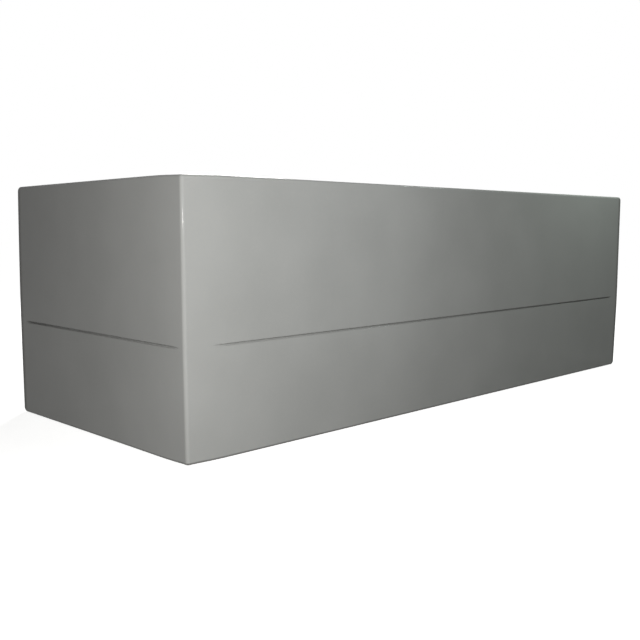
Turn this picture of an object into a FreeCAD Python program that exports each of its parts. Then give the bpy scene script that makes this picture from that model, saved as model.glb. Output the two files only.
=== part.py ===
# Bath panel: one moulded grey sheet that wraps the front and one end of a bath, seen from outside as
# two tall faces with a rounded corner, a thin stopped groove along each face and a foot that leans in.
# Millimetres, +Z up. The front faces -Y, the end faces -X, and the foot stands on Z = 0.

import FreeCAD, Part
import math
import os

import Sketcher

V = FreeCAD.Vector
START, END = range(1, 3)
ROOT, FINISH_ARC, CREST, BEGIN_ARC = range(4)
ORIGIN = (-1, 1)
CLOSE = 0.01
# The groove's cutter is this much wider than its mouth, so that it passes right through the face.
CUTTER_OVERSIZE = 1.25

SIZES = [
    ("front_length", 1690.0, "outer length of the front, corner to free end"),
    ("end_length", 680.0, "outer length of the end, corner to free end"),
    ("panel_height", 540.0, "floor to the top edge"),
    ("wall_thickness", 4.0, "thickness of the moulded sheet"),
    ("return_depth", 24.0, "how far the edges turn in, measured from the upper face"),
    ("corner_radius", 7.0, "rounding of the upright corner"),
    ("outline_radius", 12.0, "rounding of the outer corners at the free ends"),
    ("edge_radius", 5.5, "rounding from each face into its edges"),
    ("line_height", 222.0, "height of the groove above the floor"),
    ("bend_drop", 1.5, "flat strip between the bead of the groove and the start of the bend"),
    ("bend_height", 25.0, "height over which the face turns inwards"),
    ("toe_in", 5.0, "how far the foot stands behind the upper face"),
    ("groove_width", 6.0, "width of the groove at its mouth"),
    ("groove_depth", 3.0, "depth of the groove"),
    ("run_out_radius", 120.0, "radius on which the grooves rise out of their faces"),
    ("long_run_out_radius", 500.0, "the same for the front's groove beside the corner, where it fades"),
    ("front_corner_gap", 120.0, "front: corner to the start of the full groove"),
    ("front_free_gap", 72.0, "front: free end to the end of the full groove"),
    ("end_corner_gap", 48.0, "end: corner to the start of the full groove"),
    ("end_free_gap", 56.0, "end: free end to the end of the full groove"),
    ("bead_round", 2.0, "rounding of the bead that the groove raises on the back"),
]

doc = FreeCAD.newDocument("bath_panel")
sheet = doc.addObject("Spreadsheet::Sheet", "Sizes")
for row, (alias, value, meaning) in enumerate(SIZES, start=1):
    sheet.set(f"A{row}", meaning)
    sheet.set(f"B{row}", str(value))
    sheet.setAlias(f"B{row}", alias)
doc.recompute()

body = doc.addObject("PartDesign::Body", "BathPanel")
body.Label = "bath_panel"
body.Placement = FreeCAD.Placement()


def size(formula):
    # The number that a formula of named sizes gives now.
    return float(sheet.evalExpression(formula))


def near(value, target):
    return abs(value - target) < CLOSE


def new_sketch(name, plane_role, offset):
    # A sketch on one of the body's origin planes, raised by a formula of named sizes.
    plane = next(f for f in body.Origin.OriginFeatures if f.Role == plane_role)
    sketch = body.newObject("Sketcher::SketchObject", name)
    sketch.AttachmentSupport = [(plane, "")]
    sketch.MapMode = "FlatFace"
    sketch.setExpression("AttachmentOffset.Base.z", offset)
    return sketch


def dimension(sketch, name, kind, references, formula):
    # A named dimension of a sketch, bound to the sheet.
    index = sketch.addConstraint(Sketcher.Constraint(kind, *references, size(formula)))
    sketch.renameConstraint(index, name)
    sketch.setExpression("Constraints." + name, formula)


def join(sketch, kind, *pairs):
    # Fixes ends of neighbouring lines and arcs to each other.
    for pair in pairs:
        sketch.addConstraint(Sketcher.Constraint(kind, *pair))


def set_square(sketch, kind, *lines):
    # Holds lines horizontal or vertical.
    for line in lines:
        sketch.addConstraint(Sketcher.Constraint(kind, line))


def add_feature(kind, name, bound, **settings):
    # A feature of the body, with its plain settings and the properties bound to the sheet.
    feature = body.newObject("PartDesign::" + kind, name)
    for key, value in settings.items():
        setattr(feature, key, value)
    for key, formula in bound.items():
        feature.setExpression(key, formula)
    doc.recompute()
    return feature


def names_of(kind, items, wanted):
    return [f"{kind}{i}" for i, item in enumerate(items, start=1) if wanted(item)]


def round_edges(name, base, radius, wanted):
    # Rounds the edges of a feature that a test picks out, with a named radius.
    edges = names_of("Edge", base.Shape.Edges, wanted)
    return add_feature("Fillet", name, {"Radius": radius}, Base=(base, edges))


half_front = size("Sizes.front_length / 2")
half_end = size("Sizes.end_length / 2")
bead_height = "Sizes.groove_width + 2 * Sizes.bead_round"
bead_depth = "Sizes.wall_thickness + Sizes.groove_depth"
bend_top = f"Sizes.line_height - ({bead_height}) / 2 - Sizes.bend_drop"


# Plan line of the outer face: along the front to the corner, then back along the end.
plan = new_sketch("PlanLine", "XY_Plane", "0")
corner = V(-half_front, -half_end, 0)
plan.addGeometry(Part.LineSegment(V(half_front, -half_end, 0), corner))
plan.addGeometry(Part.LineSegment(corner, V(-half_front, half_end, 0)))
join(plan, "Coincident", (0, END, 1, START))
set_square(plan, "Horizontal", 0)
set_square(plan, "Vertical", 1)
dimension(plan, "front_reach", "DistanceX", (*ORIGIN, 0, START), "Sizes.front_length / 2")
dimension(plan, "front_run", "DistanceX", (0, END, 0, START), "Sizes.front_length")
dimension(plan, "end_reach", "DistanceY", (0, START, *ORIGIN), "Sizes.end_length / 2")
dimension(plan, "end_run", "DistanceY", (1, START, 1, END), "Sizes.end_length")

# Upright section at the free end of the front: flat past the groove, a gentle bend, then the toe.
section = new_sketch("UprightSection", "YZ_Plane", "Sizes.front_length / 2")
lean = math.atan(size(f"Sizes.toe_in / ({bend_top} - Sizes.bend_height / 2)"))
bend_radius = size("Sizes.bend_height") / math.sin(lean)
bend_circle = Part.Circle(V(-half_end + bend_radius, size(bend_top), 0), V(0, 0, 1), bend_radius)
bend = Part.ArcOfCircle(bend_circle, math.pi, math.pi + lean)
back_y = -half_end + size("Sizes.return_depth")
top_outer = V(-half_end, size("Sizes.panel_height"), 0)
top_inner = V(back_y, size("Sizes.panel_height"), 0)
foot_outer = V(-half_end + size("Sizes.toe_in"), 0, 0)
foot_inner = V(back_y, 0, 0)
section.addGeometry(Part.LineSegment(top_outer, bend.StartPoint))
section.addGeometry(bend)
section.addGeometry(Part.LineSegment(bend.EndPoint, foot_outer))
section.addGeometry(Part.LineSegment(foot_outer, foot_inner))
section.addGeometry(Part.LineSegment(foot_inner, top_inner))
section.addGeometry(Part.LineSegment(top_inner, top_outer))
join(section, "Tangent", (0, END, 1, START), (1, END, 2, START))
join(section, "Coincident", (2, END, 3, START), (3, END, 4, START), (4, END, 5, START), (5, END, 0, START))
set_square(section, "Vertical", 0, 4)
set_square(section, "Horizontal", 3, 5)
join(section, "PointOnObject", (3, START, ORIGIN[0]))
dimension(section, "face_place", "DistanceX", (0, START, *ORIGIN), "Sizes.end_length / 2")
dimension(section, "height", "DistanceY", (3, START, 0, START), "Sizes.panel_height")
dimension(section, "bend_top", "DistanceY", (3, START, 0, END), bend_top)
dimension(section, "bend_height", "DistanceY", (1, END, 0, END), "Sizes.bend_height")
dimension(section, "toe_in", "DistanceX", (0, START, 3, START), "Sizes.toe_in")
dimension(section, "return_depth", "DistanceX", (0, START, 5, START), "Sizes.return_depth")
doc.recompute()

# The section follows the plan line with a mitred corner, as one solid block to be hollowed.
block = add_feature(
    "AdditivePipe", "Block", {}, Profile=section, Spine=(plan, ["Edge1", "Edge2"]), Transition="Right corner"
)


# Rounding in plan and in elevation: the upright corner, then the outer corners at the free ends.
def on_corner(edge):
    reach = size("Sizes.toe_in") + CLOSE
    return all(v.X < -half_front + reach and v.Y < -half_end + reach for v in edge.Vertexes)


def on_free_end(edge):
    box = edge.BoundBox
    level = near(box.ZLength, 0)
    return level and (near(box.XMin, half_front) or near(box.YMin, half_end))


cornered = round_edges("CornerRound", block, "Sizes.corner_radius", on_corner)
outlined = round_edges("OutlineRound", cornered, "Sizes.outline_radius", on_free_end)


# Hollowing: the back is open, which leaves the sheet with its edges turned in all round.
def on_back(face):
    box = face.BoundBox
    behind_front = near(box.YLength, 0) and near(box.YMin, back_y)
    behind_end = near(box.XLength, 0) and near(box.XMin, -half_front + size("Sizes.return_depth"))
    return behind_front or behind_end


backs = names_of("Face", outlined.Shape.Faces, on_back)
wall = {"Value": "Sizes.wall_thickness"}
shell = add_feature("Thickness", "Shell", wall, Base=(outlined, backs), Reversed=True)


# Rounding of the outline: where both faces turn into their edges, outside and then inside.
def of_sheet(face, outward):
    # True for the outer or the inner side of the two faces and the corner between them.
    u_min, u_max, v_min, v_max = face.ParameterRange
    u_mid = (u_min + u_max) / 2
    v_mid = (v_min + v_max) / 2
    normal = face.normalAt(u_mid, v_mid) * (-1 if outward else 1)
    point = face.valueAt(u_mid, v_mid)
    reach = size("Sizes.toe_in + Sizes.corner_radius")
    on_front = normal.y > 0.5 and point.y < -half_end + reach
    on_end = normal.x > 0.5 and point.x < -half_front + reach
    return on_front or on_end


def bounding_sheet(shape, outward):
    # Picks the edges where one side of the sheet meets its turned-in edges.
    def wanted(edge):
        beside = shape.ancestorsOfType(edge, Part.Face)
        return sum(of_sheet(face, outward) for face in beside) == 1

    return wanted


outside = round_edges("EdgeRound", shell, "Sizes.edge_radius", bounding_sheet(shell.Shape, True))
inner_radius = "max(Sizes.edge_radius - Sizes.wall_thickness; Sizes.wall_thickness / 4)"
rounded = round_edges("InnerRound", outside, inner_radius, bounding_sheet(outside.Shape, False))

# The two faces that carry a groove. Each is followed with the inside of the panel on its left, so the
# front runs from the corner to its free end, and the end from its free end to the corner.
# begin and finish are where the full groove starts and stops, measured from the middle of the panel.
FACES = {
    "Front": {
        "turn": 0.0,
        "along": "DistanceX",
        "inward": "DistanceY",
        "square": "Horizontal",
        "begin": "Sizes.front_length / 2 - Sizes.front_corner_gap",
        "begin_points": (CREST, END, *ORIGIN),
        "begin_radius": "Sizes.long_run_out_radius",
        "finish": "Sizes.front_length / 2 - Sizes.front_free_gap",
        "finish_points": (*ORIGIN, CREST, START),
        "finish_radius": "Sizes.run_out_radius",
        "face": "Sizes.end_length / 2",
    },
    "End": {
        "turn": -math.pi / 2,
        "along": "DistanceY",
        "inward": "DistanceX",
        "square": "Vertical",
        "begin": "Sizes.end_length / 2 - Sizes.end_free_gap",
        "begin_points": (*ORIGIN, CREST, END),
        "begin_radius": "Sizes.run_out_radius",
        "finish": "Sizes.end_length / 2 - Sizes.end_corner_gap",
        "finish_points": (CREST, START, *ORIGIN),
        "finish_radius": "Sizes.run_out_radius",
        "face": "Sizes.front_length / 2",
    },
}


def line_plan(name, face, crest, root, outset):
    # Plan outline of a groove or bead at the height of the line: a straight crest that leaves on an arc
    # at each end, closed by a straight root. Crest and root are depths behind the upper face, and outset
    # is what the arcs have over the face's own run-out radii.
    sketch = new_sketch(name, "XY_Plane", "Sizes.line_height")
    turn = FreeCAD.Rotation(V(0, 0, 1), math.degrees(face["turn"]))
    begin = -size(face["begin"])
    finish = size(face["finish"])
    crest_at = size(crest) - size(face["face"])
    root_at = size(root) - size(face["face"])
    begin_radius = f"{face['begin_radius']} + {outset}"
    finish_radius = f"{face['finish_radius']} + {outset}"

    def place(along, inward):
        return turn.multVec(V(along, inward, 0))

    def rise(radius):
        return math.asin((root_at - crest_at + size(radius)) / size(radius))

    def swing(radius):
        return size(radius) * math.cos(rise(radius))

    def arc(along, radius, first, last):
        circle = Part.Circle(place(along, crest_at - size(radius)), V(0, 0, 1), size(radius))
        return Part.ArcOfCircle(circle, first + face["turn"], last + face["turn"])

    root_begin = place(begin - swing(begin_radius), root_at)
    root_finish = place(finish + swing(finish_radius), root_at)
    sketch.addGeometry(Part.LineSegment(root_begin, root_finish))
    sketch.addGeometry(arc(finish, finish_radius, rise(finish_radius), math.pi / 2))
    sketch.addGeometry(Part.LineSegment(place(finish, crest_at), place(begin, crest_at)))
    sketch.addGeometry(arc(begin, begin_radius, math.pi / 2, math.pi - rise(begin_radius)))
    join(sketch, "Tangent", (FINISH_ARC, END, CREST, START), (CREST, END, BEGIN_ARC, START))
    join(sketch, "Coincident", (ROOT, END, FINISH_ARC, START), (BEGIN_ARC, END, ROOT, START))
    set_square(sketch, face["square"], ROOT, CREST)
    dimension(sketch, "begin", face["along"], face["begin_points"], face["begin"])
    dimension(sketch, "finish", face["along"], face["finish_points"], face["finish"])
    dimension(sketch, "crest", face["inward"], (CREST, START, *ORIGIN), f"{face['face']} - ({crest})")
    dimension(sketch, "root", face["inward"], (ROOT, START, *ORIGIN), f"{face['face']} - ({root})")
    dimension(sketch, "finish_radius", "Radius", (FINISH_ARC,), finish_radius)
    dimension(sketch, "begin_radius", "Radius", (BEGIN_ARC,), begin_radius)
    doc.recompute()
    return sketch


def on_crest(edge):
    # Picks the edges along the crest of a bead, above and below the line.
    box = edge.BoundBox
    level = near(box.ZLength, 0) and near(abs(box.ZMin - size("Sizes.line_height")), size(bead_height) / 2)
    on_front = near(box.YMax, -half_end + size(bead_depth))
    on_end = near(box.XMax, -half_front + size(bead_depth))
    return level and (on_front or on_end)


# Bead: behind each groove the sheet bulges inwards, so that it keeps its thickness.
tip = rounded
for side, face in FACES.items():
    outline = line_plan(
        side + "BeadPlan", face, bead_depth, "Sizes.wall_thickness / 2", "Sizes.wall_thickness"
    )
    tip = add_feature("Pad", side + "Bead", {"Length": bead_height}, Profile=outline, SideType="Symmetric")
tip = round_edges("BeadRound", tip, "Sizes.bead_round", on_crest)

# Groove: a V along each face that rises out of it at both ends.
cutter = {
    "Length": f"{CUTTER_OVERSIZE} * Sizes.groove_width",
    "TaperAngle": "-atan(2 * Sizes.groove_depth / Sizes.groove_width)",
}
groove_mouth = "-2 * Sizes.groove_depth"
for side, face in FACES.items():
    outline = line_plan(side + "GroovePlan", face, "Sizes.groove_depth", groove_mouth, "0")
    tip = add_feature("Pocket", side + "Groove", cutter, Profile=outline, SideType="Symmetric")

body.Tip = tip
doc.recompute()

# Nothing is written unless every feature was made and the panel is one sound solid.
for item in doc.Objects:
    if "Invalid" in item.State or "Error" in item.State:
        raise RuntimeError(f"{item.Label} was not made: {item.State}")
if body.Shape.isNull() or not body.Shape.isValid() or len(body.Shape.Solids) != 1:
    raise RuntimeError("the panel is not one sound solid")
os.makedirs("parts", exist_ok=True)
body.Shape.exportStep(f"parts/{body.Label}.step")
print(f"{body.Label}: {body.Shape.Volume / 1e6:.3f} litres of sheet")
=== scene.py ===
import math
import bmesh
import bpy
import numpy as np
from mathutils import Matrix, Vector, noise


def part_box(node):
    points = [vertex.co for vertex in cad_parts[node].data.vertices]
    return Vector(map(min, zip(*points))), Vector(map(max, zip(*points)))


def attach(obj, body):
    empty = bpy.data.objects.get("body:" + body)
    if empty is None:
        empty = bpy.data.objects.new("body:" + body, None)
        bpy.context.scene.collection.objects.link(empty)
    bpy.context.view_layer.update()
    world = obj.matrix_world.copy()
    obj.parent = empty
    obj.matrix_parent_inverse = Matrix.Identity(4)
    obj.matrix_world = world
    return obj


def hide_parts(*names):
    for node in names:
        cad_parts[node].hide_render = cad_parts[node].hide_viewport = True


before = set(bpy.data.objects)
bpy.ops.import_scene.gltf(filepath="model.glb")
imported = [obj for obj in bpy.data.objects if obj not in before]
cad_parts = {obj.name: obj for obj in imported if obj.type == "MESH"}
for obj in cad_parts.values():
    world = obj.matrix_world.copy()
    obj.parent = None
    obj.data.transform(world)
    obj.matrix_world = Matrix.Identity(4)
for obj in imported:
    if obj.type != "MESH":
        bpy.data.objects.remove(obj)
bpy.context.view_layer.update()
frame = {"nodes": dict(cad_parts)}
mm = 0.001
print("frame loaded:", ", ".join(frame["nodes"]))


def hexToLinear(text):  # sRGB hex to the linear colour that a shader takes
    channels = [int(text[i:i + 2], 16) / 255 for i in (1, 3, 5)]
    linear = [c / 12.92 if c <= 0.04045 else ((c + 0.055) / 1.055) ** 2.4 for c in channels]
    return (*linear, 1.0)


def addNode(tree, kind, settings={}, values={}, links={}):  # one node with its settings, numbers and wires
    node = tree.nodes.new("ShaderNode" + kind)
    for name, value in settings.items():
        setattr(node, name, value)
    for socket, value in values.items():
        node.inputs[socket].default_value = value
    for socket, source in links.items():
        tree.links.new(source, node.inputs[socket])
    return node


def newMaterial(name):  # a material with an empty tree
    material = bpy.data.materials.new(name)
    material.use_nodes = True
    material.node_tree.nodes.clear()
    return material


def perMetre(millimetres):  # texture scale that gives a pattern of this size on coordinates in metres
    return 1 / (millimetres * mm)


# The moulded sheet, in millimetres: the sizes of the solid that it stands for, and how finely it is meshed
panel = {
    "wall": 4.0,
    "returnDepth": 24.0,      # how far the edges turn in
    "cornerRadius": 7.0,      # upright corner
    "outlineRadius": 12.0,    # outer corners at the free ends
    "edgeRadius": 5.5,        # face into edge
    "toeIn": 5.0,             # foot behind the upper face
    "bendTop": 215.5,
    "bendHeight": 25.0,
    "lineHeight": 222.0,      # groove above the floor
    "grooveDepth": 3.0,
    "grooveHalf": 3.0,        # half the groove's width
    "beadHalf": 5.0,          # half the width of the swelling behind it
    "grooveShadeHalf": 5.0,         # half the width of the painted shade in the groove and on its lips
    "grooveShadeNear": 0.34,        # how much of that painted shade there is by the upright corner, as a share of the free ends'
    "runOut": 26.7,           # length over which the groove rises out of the face
    "longRunOut": 54.7,       # the same on the front beside the corner
    "frontCornerGap": 120.0,  # from the corner or a free end to the full groove
    "frontFreeGap": 72.0,
    "endCornerGap": 48.0,
    "endFreeGap": 56.0,
    "waveDepth": 0.5,         # slack of a thin sheet that has left its mould
    "waveLength": 340.0,
    "springBack": 1.0,        # share of the end's lean that is gone at its free edge, which nothing holds
    "topLean": 5.0,           # how far the top leans in there
    "cornerDrop": 2.0,        # how far the top and foot draw in at the upright corner
    "cornerReach": 50.0,
    "endShadeBand": 14.0,          # width of the strip of painted shade along the free ends
    "footShade": 0.6,          # painted shade on the rounding along the foot, as a share of the free ends'
    "cornerSpread": 6.0,      # mesh lines at the square inner corner of the turned-in edges
    "roundSteps": 6,
    "cornerSteps": 14,
    "returnSteps": 3,
    "coarseStep": 20.0,
    "middleStep": 10.0,
    "fineStep": 3.0,
    "grooveStep": 0.34,
}


def spread(start, *runs):  # places from start through the end of each run, no further apart than its step
    places = [start]
    for stop, step in runs:
        count = max(1, math.ceil((stop - places[-1]) / step - 1e-6))
        places += list(np.linspace(places[-1], stop, count + 1)[1:])
    return np.array(places)


def buildPanel(spec, low, high):
    # u runs along the outer face from the free end of the front, round the corner, to the free end of the
    # end; v is the height; depth goes inwards from the face
    frontLength, endLength, height = (side / mm for side in high - low)
    left, frontFace = low.x / mm, low.y / mm
    radius, edge, wall = spec["cornerRadius"], spec["edgeRadius"], spec["wall"]
    outline, runOut = spec["outlineRadius"], spec["runOut"]
    square = outline - edge  # rounding that is left on the face where it starts to turn into the edges
    frontRun, endRun = frontLength - radius, endLength - radius
    endStart = frontRun + radius * math.pi / 2
    pathLength = endStart + endRun
    grooves = [  # the full stretches as places along u, and how long each takes to rise out before and after
        (spec["frontFreeGap"], frontLength - spec["frontCornerGap"], runOut, spec["longRunOut"]),
        (endStart + spec["endCornerGap"] - radius, endStart + endRun - spec["endFreeGap"], runOut, runOut),
    ]

    roundStep = square / spec["roundSteps"]
    arcStep = radius * math.pi / 2 / spec["cornerSteps"]
    coarse, middle, fine = spec["coarseStep"], spec["middleStep"], spec["fineStep"]
    runs = [(outline, roundStep), (2 * outline, fine)]
    for begin, finish, before, after in grooves:
        runs += [(begin - before, middle), (begin, fine), (finish, coarse), (finish + after, fine)]
        if finish < frontRun:
            runs += [(frontRun, middle), (endStart, arcStep)]
    runs += [(pathLength - 2 * outline, middle), (pathLength - outline, fine), (pathLength - edge, roundStep)]
    columns = spread(edge, *runs)
    bendFoot = spec["bendTop"] - spec["bendHeight"]
    lineFoot = spec["lineHeight"] - spec["beadHalf"]
    lineTop = spec["lineHeight"] + spec["beadHalf"]
    rows = spread(
        edge, (outline, roundStep), (bendFoot, coarse), (lineFoot, fine), (lineTop, spec["grooveStep"]),
        (lineTop + middle, fine), (height - outline, coarse), (height - edge, roundStep),
    )

    def cornerShare(places, length):  # from -1 to 1 inside the outline's rounded corners, 0 between them
        after = np.clip((places - length + outline) / square, 0, 1)
        before = np.clip((outline - places) / square, 0, 1)
        return after - before

    shareU, shareV = np.meshgrid(cornerShare(columns, pathLength), cornerShare(rows, height), indexing="ij")
    gridU, gridV = np.meshgrid(columns, rows, indexing="ij")
    outU = shareU * np.sqrt(1 - shareV ** 2 / 2)  # square corner of the grid to round corner of the face
    outV = shareV * np.sqrt(1 - shareU ** 2 / 2)
    gridU = gridU + (outU - shareU) * square
    gridV = gridV + (outV - shareV) * square

    leanAngle = math.atan(spec["toeIn"] / (spec["bendTop"] - spec["bendHeight"] / 2))
    bendRadius = spec["bendHeight"] / math.sin(leanAngle)

    def toe(v):  # how far the face has leaned in at a height
        inBend = np.clip(spec["bendTop"] - v, 0, spec["bendHeight"])
        below = np.clip(bendFoot - v, 0, None)
        return bendRadius - np.sqrt(bendRadius ** 2 - inBend ** 2) + below * math.tan(leanAngle)

    def drawnIn(u, v):  # the height, once the sheet has shrunk on the mould's upright corner
        near = np.exp(-((u - (frontRun + endStart) / 2) / spec["cornerReach"]) ** 2)
        return v + spec["cornerDrop"] * near * (1 - 2 * v / height)

    def place(u, v, depth):  # a point of the sheet in the part's frame
        loose = np.clip((u - endStart) / endRun, 0, 1) ** 2
        above = np.clip((v - spec["lineHeight"]) / (height - spec["lineHeight"]), 0, 1) ** 1.5
        lean = toe(v) * (1 - spec["springBack"] * loose) + spec["topLean"] * loose * above
        turn = np.clip((u - frontRun) / radius, 0, math.pi / 2)
        alongFront = np.clip(frontRun - u, 0, None) * (1 - lean / frontRun)
        alongEnd = np.clip(u - endStart, 0, None) * (1 - lean / endRun)
        x = left + lean + radius - (radius - depth) * np.sin(turn) + alongFront
        y = frontFace + lean + radius - (radius - depth) * np.cos(turn) + alongEnd
        return np.stack([x, y, drawnIn(u, v)], axis=-1)

    def rimPlace(u, v):  # a point of the turned-in edges' back rim, which has a square inner corner
        reach, gap = spec["returnDepth"], spec["cornerSpread"]
        turn = np.clip((u - frontRun) / (endStart - frontRun), 0, 1)
        alongFront = np.clip(frontRun - u, 0, None) * (frontLength - reach - gap) / frontRun
        alongEnd = np.clip(u - endStart, 0, None) * (endLength - reach - gap) / endRun
        x = left + reach + alongFront + gap * np.clip(1 - 2 * turn, 0, 1)
        y = frontFace + reach + alongEnd + gap * np.clip(2 * turn - 1, 0, 1)
        return np.stack([x, y, drawnIn(u, v)], axis=-1)

    share = np.zeros_like(gridU)  # 1 along the full groove, falling on an arc to 0 at its ends
    for begin, finish, before, after in grooves:
        past = np.maximum((begin - gridU) / before, (gridU - finish) / after)
        share = np.maximum(share, 1 - np.clip(past, 0, 1) ** 2)
    offLine = np.abs(gridV - spec["lineHeight"])

    def swell(half):  # a soft-lipped section, deepest on the line
        return share * np.cos(np.clip(offLine / half, 0, 1) * math.pi / 2) ** 2

    # painted shade in and beside the groove, stronger away from the upright corner
    fromCorner = np.maximum((frontRun - gridU) / frontRun, (gridU - endStart) / endRun)
    shadeAlong = spec["grooveShadeNear"] + (1 - spec["grooveShadeNear"]) * np.clip(fromCorner, 0, 1)
    grooveShade = swell(spec["grooveShadeHalf"]) * shadeAlong

    slack = np.vectorize(lambda u, v: noise.noise((u / spec["waveLength"], v / spec["waveLength"], 0.7)))
    wave = spec["waveDepth"] * (0.5 + 0.5 * np.clip(1.6 * slack(gridU, gridV), -1, 1))

    lastU, lastV = gridU.shape[0] - 1, gridU.shape[1] - 1
    loop = [(i, 0) for i in range(lastU)] + [(lastU, j) for j in range(lastV)]
    loop += [(i, lastV) for i in range(lastU, 0, -1)] + [(0, j) for j in range(lastV, 0, -1)]
    around = tuple(np.array(loop).T)  # the border of the grid, once round

    inset = np.minimum(gridU, pathLength - gridU) - edge
    border = np.clip(1 - inset / spec["endShadeBand"], 0, 1)  # painted shade: 1 at the free ends, 0 past the strip

    mesh = bmesh.new()
    # painted shade in and beside the groove
    grooveShadeLayer = mesh.verts.layers.float.new("grooveShadeShare")
    # painted shade on the roundings at the free ends and along the foot
    edgeShadeLayer = mesh.verts.layers.float.new("edgeShadeShare")

    def bridge(near, far):  # the corners of the faces between two rings
        following = [*range(1, len(near)), 0]
        return [(near[k], far[k], far[n], near[n]) for k, n in enumerate(following)]

    def addSkin(ringRadius, relief, materialIndex):  # one side of the sheet; returns its back rim
        points = place(gridU, gridV, edge - ringRadius + wave + spec["grooveDepth"] * relief) * mm
        grid = np.empty(gridU.shape, dtype=object)
        for spot in np.ndindex(gridU.shape):
            grid[spot] = mesh.verts.new(points[spot])
            grid[spot][grooveShadeLayer] = grooveShade[spot]
            grid[spot][edgeShadeLayer] = border[spot]
        corners = [
            (grid[i, j], grid[i + 1, j], grid[i + 1, j + 1], grid[i, j + 1])
            for i in range(lastU) for j in range(lastV)
        ]
        rings = [list(grid[around])]
        for step in range(1, spec["roundSteps"] + 1):  # the rounding into the edge
            angle = math.pi / 2 * step / spec["roundSteps"]
            reach = ringRadius * math.sin(angle)
            ringU, ringV = gridU[around] + reach * outU[around], gridV[around] + reach * outV[around]
            turned = place(ringU, ringV, edge - ringRadius * math.cos(angle) + wave[around])
            rings.append([mesh.verts.new(point) for point in turned * mm])
            # painted shade on the rounding at the free ends and along the foot
            endRingShade = np.abs(outU[around]) * math.cos(angle)
            ringShade = np.maximum(endRingShade, spec["footShade"] * np.clip(-outV[around], 0, 1))
            for point, pointShade in zip(rings[-1], ringShade):
                point[edgeShadeLayer] = pointShade
        rim = rimPlace(ringU, ringV)
        for step in range(1, spec["returnSteps"] + 1):  # the turned-in edge
            part = step / spec["returnSteps"]
            rings.append([mesh.verts.new(point) for point in (turned * (1 - part) + rim * part) * mm])
        for near, far in zip(rings, rings[1:]):
            corners += bridge(near, far)
        for four in corners:
            face = mesh.faces.new(four)
            face.smooth = True
            face.material_index = materialIndex
        return rings[-1]

    outerRim = addSkin(edge, swell(spec["grooveHalf"]), 0)
    innerRim = addSkin(edge - wall, swell(spec["beadHalf"]), 1)
    for four in bridge(outerRim, innerRim):  # the trimmed edge of the sheet
        mesh.faces.new(four).material_index = 2
    for side in mesh.edges:
        side.smooth = len({face.material_index for face in side.link_faces}) == 1
    bmesh.ops.recalc_face_normals(mesh, faces=mesh.faces)
    data = bpy.data.meshes.new("moulded_panel")
    mesh.to_mesh(data)
    mesh.free()
    piece = bpy.data.objects.new("moulded_panel", data)
    bpy.context.scene.collection.objects.link(piece)
    return piece


sheet = buildPanel(panel, *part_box("bath_panel"))
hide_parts("bath_panel")
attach(sheet, "root")
print("panel built:", len(sheet.data.polygons), "faces")


# Acrylic sheet, vacuum formed, the side that shows: evenly coloured and smooth, so the eye sees a soft sheen
# with a faint orange peel and hardly any mottling and dust, painted shade in and beside the groove, and
# painted shade on the roundings along the free ends and the foot
acrylicFace = {
    "pale": "#B5B6B4",
    "deep": "#AEAFAD",
    "dust": "#C4C2BB",
    # painted shade in and beside the groove
    "grooveShade": "#4A4945",
    # painted shade on the roundings at the free ends and the foot
    "paintedEdgeShade": "#6B6A66",
    "mottleSize": 180.0,    # mm, uneven stretch of the hot sheet
    "dustSize": 7.0,        # mm; real dust is finer, and is drawn this coarse so that it shows
    "dustAmount": 0.10,
    "grooveShadeAmount": 0.66,
    "paintedEdgeShadeAmount": 0.95,
    "peelSize": 6.0,        # mm
    "peelHeight": 0.005,    # mm
    "ior": 1.49,
    "specular": 0.04,
    "smoothest": 0.06,
    "dullest": 0.09,
}


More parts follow.
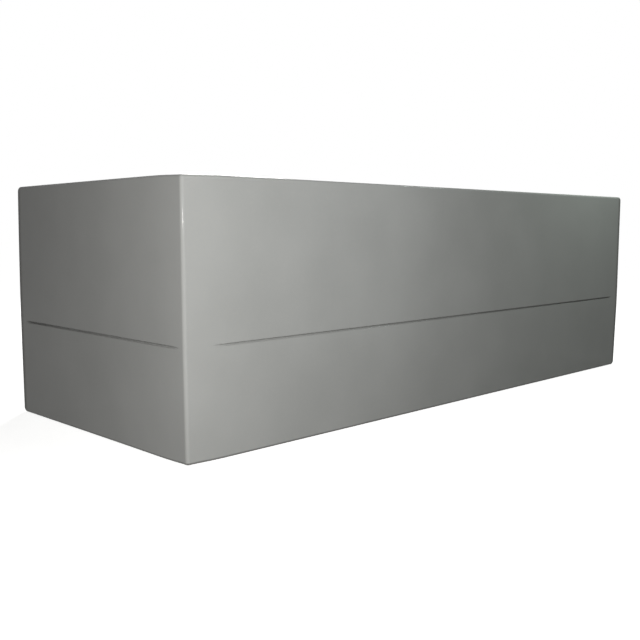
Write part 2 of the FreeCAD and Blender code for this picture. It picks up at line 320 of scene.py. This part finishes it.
def makeAcrylicFace(spec):
    material = newMaterial("acrylic_vacuum_formed_face")
    tree = material.node_tree
    place = addNode(tree, "TexCoord").outputs["Object"]
    mottle = addNode(
        tree, "TexNoise", values={"Scale": perMetre(spec["mottleSize"]), "Detail": 3.0},
        links={"Vector": place},
    ).outputs["Fac"]
    dust = addNode(
        tree, "TexNoise", values={"Scale": perMetre(spec["dustSize"]), "Detail": 5.0}, links={"Vector": place}
    ).outputs["Fac"]
    peel = addNode(
        tree, "TexNoise", values={"Scale": perMetre(spec["peelSize"]), "Detail": 1.0}, links={"Vector": place}
    ).outputs["Fac"]
    grooveShade = addNode(tree, "Attribute", settings={"attribute_name": "grooveShadeShare"}).outputs["Fac"]
    edge = addNode(tree, "Attribute", settings={"attribute_name": "edgeShadeShare"}).outputs["Fac"]
    even = addNode(
        tree, "MapRange", values={"From Min": 0.3, "From Max": 0.7}, links={"Value": mottle}
    ).outputs["Result"]
    body = addNode(
        tree, "Mix", settings={"data_type": "RGBA"},
        values={6: hexToLinear(spec["deep"]), 7: hexToLinear(spec["pale"])}, links={0: even},
    ).outputs[2]
    dustShare = addNode(
        tree, "MapRange", values={"From Min": 0.5, "From Max": 0.8, "To Max": spec["dustAmount"]},
        links={"Value": dust},
    ).outputs["Result"]
    dusted = addNode(
        tree, "Mix", settings={"data_type": "RGBA"}, values={7: hexToLinear(spec["dust"])},
        links={0: dustShare, 6: body},
    ).outputs[2]
    # painted shade in and beside the groove
    grooveShadeShare = addNode(
        tree, "MapRange", values={"To Max": spec["grooveShadeAmount"]}, links={"Value": grooveShade}
    ).outputs["Result"]
    grooveShaded = addNode(
        tree, "Mix", settings={"data_type": "RGBA"}, values={7: hexToLinear(spec["grooveShade"])},
        links={0: grooveShadeShare, 6: dusted},
    ).outputs[2]
    # painted shade on the roundings at the free ends and the foot
    paintedEdgeShadeShare = addNode(
        tree, "MapRange", values={"To Max": spec["paintedEdgeShadeAmount"]}, links={"Value": edge}
    ).outputs["Result"]
    colour = addNode(
        tree, "Mix", settings={"data_type": "RGBA"}, values={7: hexToLinear(spec["paintedEdgeShade"])},
        links={0: paintedEdgeShadeShare, 6: grooveShaded},
    ).outputs[2]
    roughness = addNode(
        tree, "MapRange",
        values={"From Min": 0.3, "From Max": 0.7, "To Min": spec["smoothest"], "To Max": spec["dullest"]},
        links={"Value": dust},
    ).outputs["Result"]
    relief = addNode(
        tree, "Bump", values={"Strength": 1.0, "Distance": spec["peelHeight"] * mm}, links={"Height": peel}
    ).outputs["Normal"]
    shader = addNode(
        tree, "BsdfPrincipled", values={"IOR": spec["ior"], "Specular IOR Level": spec["specular"]},
        links={"Base Color": colour, "Roughness": roughness, "Normal": relief},
    ).outputs["BSDF"]
    addNode(tree, "OutputMaterial", links={"Surface": shader})
    return material


# The same sheet's back, which never touched the mould: a duller skin with a fine pebble left by the heat
acrylicBack = {
    "pale": "#B0AFAA",
    "deep": "#A5A49F",
    "cloudSize": 90.0,      # mm
    "pebbleSize": 3.0,      # mm
    "pebbleHeight": 0.06,   # mm
    "ior": 1.49,
    "specular": 0.3,
    "smoothest": 0.5,
    "dullest": 0.65,
}


def makeAcrylicBack(spec):
    material = newMaterial("acrylic_vacuum_formed_back")
    tree = material.node_tree
    place = addNode(tree, "TexCoord").outputs["Object"]
    cloud = addNode(
        tree, "TexNoise", values={"Scale": perMetre(spec["cloudSize"]), "Detail": 4.0},
        links={"Vector": place},
    ).outputs["Fac"]
    pebble = addNode(
        tree, "TexVoronoi", settings={"feature": "SMOOTH_F1"}, values={"Scale": perMetre(spec["pebbleSize"])},
        links={"Vector": place},
    ).outputs["Distance"]
    uneven = addNode(
        tree, "MapRange", values={"From Min": 0.3, "From Max": 0.7}, links={"Value": cloud}
    ).outputs["Result"]
    colour = addNode(
        tree, "Mix", settings={"data_type": "RGBA"},
        values={6: hexToLinear(spec["deep"]), 7: hexToLinear(spec["pale"])}, links={0: uneven},
    ).outputs[2]
    roughness = addNode(
        tree, "MapRange", values={"To Min": spec["smoothest"], "To Max": spec["dullest"]},
        links={"Value": pebble},
    ).outputs["Result"]
    relief = addNode(
        tree, "Bump", values={"Strength": 1.0, "Distance": spec["pebbleHeight"] * mm},
        links={"Height": pebble},
    ).outputs["Normal"]
    shader = addNode(
        tree, "BsdfPrincipled", values={"IOR": spec["ior"], "Specular IOR Level": spec["specular"]},
        links={"Base Color": colour, "Roughness": roughness, "Normal": relief},
    ).outputs["BSDF"]
    addNode(tree, "OutputMaterial", links={"Surface": shader})
    return material


# The sheet's edge, saw trimmed after forming: paler, chalky, with fine lines across the cut
acrylicCut = {
    "pale": "#C2C1BC",
    "deep": "#ABAAA5",
    "lineSize": 1.2,        # mm between saw marks; drawn coarser than the real ones so that they show
    "lineHeight": 0.05,     # mm
    "ior": 1.49,
    "specular": 0.3,
    "roughness": 0.7,
}


def makeAcrylicCut(spec):
    material = newMaterial("acrylic_saw_trimmed_edge")
    tree = material.node_tree
    place = addNode(tree, "TexCoord").outputs["Object"]
    sawMarks = addNode(
        tree, "TexNoise", values={"Scale": perMetre(spec["lineSize"]), "Detail": 2.0}, links={"Vector": place}
    ).outputs["Fac"]
    colour = addNode(
        tree, "Mix", settings={"data_type": "RGBA"},
        values={6: hexToLinear(spec["deep"]), 7: hexToLinear(spec["pale"])}, links={0: sawMarks},
    ).outputs[2]
    relief = addNode(
        tree, "Bump", values={"Strength": 1.0, "Distance": spec["lineHeight"] * mm},
        links={"Height": sawMarks},
    ).outputs["Normal"]
    shader = addNode(
        tree, "BsdfPrincipled",
        values={"IOR": spec["ior"], "Specular IOR Level": spec["specular"], "Roughness": spec["roughness"]},
        links={"Base Color": colour, "Normal": relief},
    ).outputs["BSDF"]
    addNode(tree, "OutputMaterial", links={"Surface": shader})
    return material


for material in (makeAcrylicFace(acrylicFace), makeAcrylicBack(acrylicBack), makeAcrylicCut(acrylicCut)):
    sheet.data.materials.append(material)
print("materials:", ", ".join(material.name for material in sheet.data.materials))


# Floor and surroundings: a pale matt floor that shows white to the camera and keeps the panel's shadow
studio = {
    "floorColour": "#D9D9D6",
    "bounceColour": "#484847",   # what the floor sends back up on to the panel
    "floorHalf": 20.0,       # metres
    "nearGlow": 0.83,        # what lifts the floor to white for the camera, beside the panel and far away
    "farGlow": 1.0,
    "nearReach": 1.3,        # metres from the panel's middle
    "farReach": 3.5,
    "skyColour": "#FFFFFF",
    "skyStrength": 0.001,
}


def seenDirectly(tree):  # 1 for what the camera sees, straight, mirrored or through glass
    path = addNode(tree, "LightPath").outputs
    seen = path["Is Camera Ray"]
    for other in ("Is Glossy Ray", "Is Transmission Ray"):
        seen = addNode(
            tree, "Math", settings={"operation": "MAXIMUM"}, links={0: seen, 1: path[other]}
        ).outputs["Value"]
    return seen


def makeFloor(spec):
    half = spec["floorHalf"]
    data = bpy.data.meshes.new("floor")
    corners = [(-half, -half, 0), (half, -half, 0), (half, half, 0), (-half, half, 0)]
    data.from_pydata(corners, [], [(0, 1, 2, 3)])
    floor = bpy.data.objects.new("floor", data)
    bpy.context.scene.collection.objects.link(floor)
    material = newMaterial("floor_matt_paint")
    tree = material.node_tree
    place = addNode(tree, "TexCoord").outputs["Object"]
    reach = addNode(
        tree, "VectorMath", settings={"operation": "LENGTH"}, links={0: place}
    ).outputs["Value"]
    glow = addNode(
        tree, "MapRange", settings={"interpolation_type": "SMOOTHSTEP"},
        values={
            "From Min": spec["nearReach"], "From Max": spec["farReach"],
            "To Min": spec["nearGlow"], "To Max": spec["farGlow"],
        },
        links={"Value": reach},
    ).outputs["Result"]
    seen = seenDirectly(tree)
    strength = addNode(
        tree, "Math", settings={"operation": "MULTIPLY"}, links={0: glow, 1: seen}
    ).outputs["Value"]
    colour = addNode(
        tree, "Mix", settings={"data_type": "RGBA"},
        values={6: hexToLinear(spec["bounceColour"]), 7: hexToLinear(spec["floorColour"])}, links={0: seen},
    ).outputs[2]
    matt = addNode(tree, "BsdfDiffuse", links={"Color": colour}).outputs["BSDF"]
    lift = addNode(tree, "Emission", links={"Strength": strength}).outputs["Emission"]
    both = addNode(tree, "AddShader", links={0: matt, 1: lift}).outputs["Shader"]
    addNode(tree, "OutputMaterial", links={"Surface": both})
    data.materials.append(material)


def makeSky(spec):
    world = bpy.data.worlds.new("studio_sky")
    world.use_nodes = True
    tree = world.node_tree
    tree.nodes.clear()
    colour = hexToLinear(spec["skyColour"])
    lighting = addNode(tree, "Background", values={"Color": colour, "Strength": spec["skyStrength"]})
    showing = addNode(tree, "Background", values={"Color": colour, "Strength": 1.0})
    sky = addNode(
        tree, "MixShader",
        links={0: seenDirectly(tree), 1: lighting.outputs["Background"], 2: showing.outputs["Background"]},
    ).outputs["Shader"]
    addNode(tree, "OutputWorld", links={"Surface": sky})
    bpy.context.scene.world = world


makeFloor(studio)
makeSky(studio)
print("floor and sky made")


# Camera: where the photograph was taken from, in millimetres and degrees in the part's frame
camera = {
    "place": (-1703.8, -1576.5, 440.8),
    "yaw": 44.224,            # turned from +Y towards +X
    "pitch": 6.315,           # looking down
    "roll": -0.056,
    "focalPixels": 824.6,
    "frameWidth": 640,
    "sensorWidth": 36.0,
}


def makeCamera(spec):
    yaw, pitch, roll = (math.radians(spec[name]) for name in ("yaw", "pitch", "roll"))
    right = Vector((math.cos(yaw), -math.sin(yaw), 0))
    ahead = Vector((math.sin(yaw) * math.cos(pitch), math.cos(yaw) * math.cos(pitch), -math.sin(pitch)))
    turned = Matrix((right, right.cross(ahead), -ahead)).transposed() @ Matrix.Rotation(roll, 3, "Z")
    data = bpy.data.cameras.new("camera")
    data.sensor_width = spec["sensorWidth"]
    data.lens = spec["focalPixels"] / spec["frameWidth"] * spec["sensorWidth"]
    shooter = bpy.data.objects.new("camera", data)
    shooter.matrix_world = Matrix.Translation(Vector(spec["place"]) * mm) @ turned.to_4x4()
    bpy.context.scene.collection.objects.link(shooter)
    bpy.context.scene.camera = shooter


makeCamera(camera)
print("camera set")


# Lamps: a small round flash beside the camera, soft ones for the front and its far end, and a wide one for
# the hollow side
lamps = {
    "key": {
        "place": (-1.628, -1.452, 0.478), "aim": (-0.6, -0.25, 0.30), "size": 0.04, "power": 18.8,
        "colour": "#FFFEFC",
    },
    "frontFill": {
        "place": (-0.45, -0.95, 0.7), "aim": (-0.45, -0.34, 0.3), "size": 0.4, "power": 1.2,
        "colour": "#FBFEFF",
    },
    "farFill": {
        "place": (0.7, -0.62, 1.15), "aim": (0.7, -0.34, 0.45), "size": 0.3, "power": 3.08,
        "colour": "#F0FFF5",
    },
    "hollowFill": {
        "place": (1.5, 2.4, 1.6), "aim": (0.0, -0.2, 0.3), "size": 0.9, "power": 80.0, "colour": "#FFFFFF",
    },
}


def makeLamp(name, spec):
    data = bpy.data.lights.new(name, "AREA")
    data.shape = "DISK"
    data.size = spec["size"]
    data.energy = spec["power"]
    data.color = hexToLinear(spec["colour"])[:3]
    lamp = bpy.data.objects.new(name, data)
    lamp.location = spec["place"]
    lamp.rotation_mode = "QUATERNION"
    lamp.rotation_quaternion = (Vector(spec["aim"]) - Vector(spec["place"])).to_track_quat("-Z", "Y")
    bpy.context.scene.collection.objects.link(lamp)


for name, spec in lamps.items():
    makeLamp(name, spec)
bpy.context.scene.view_settings.view_transform = "Standard"
print("lamps lit")
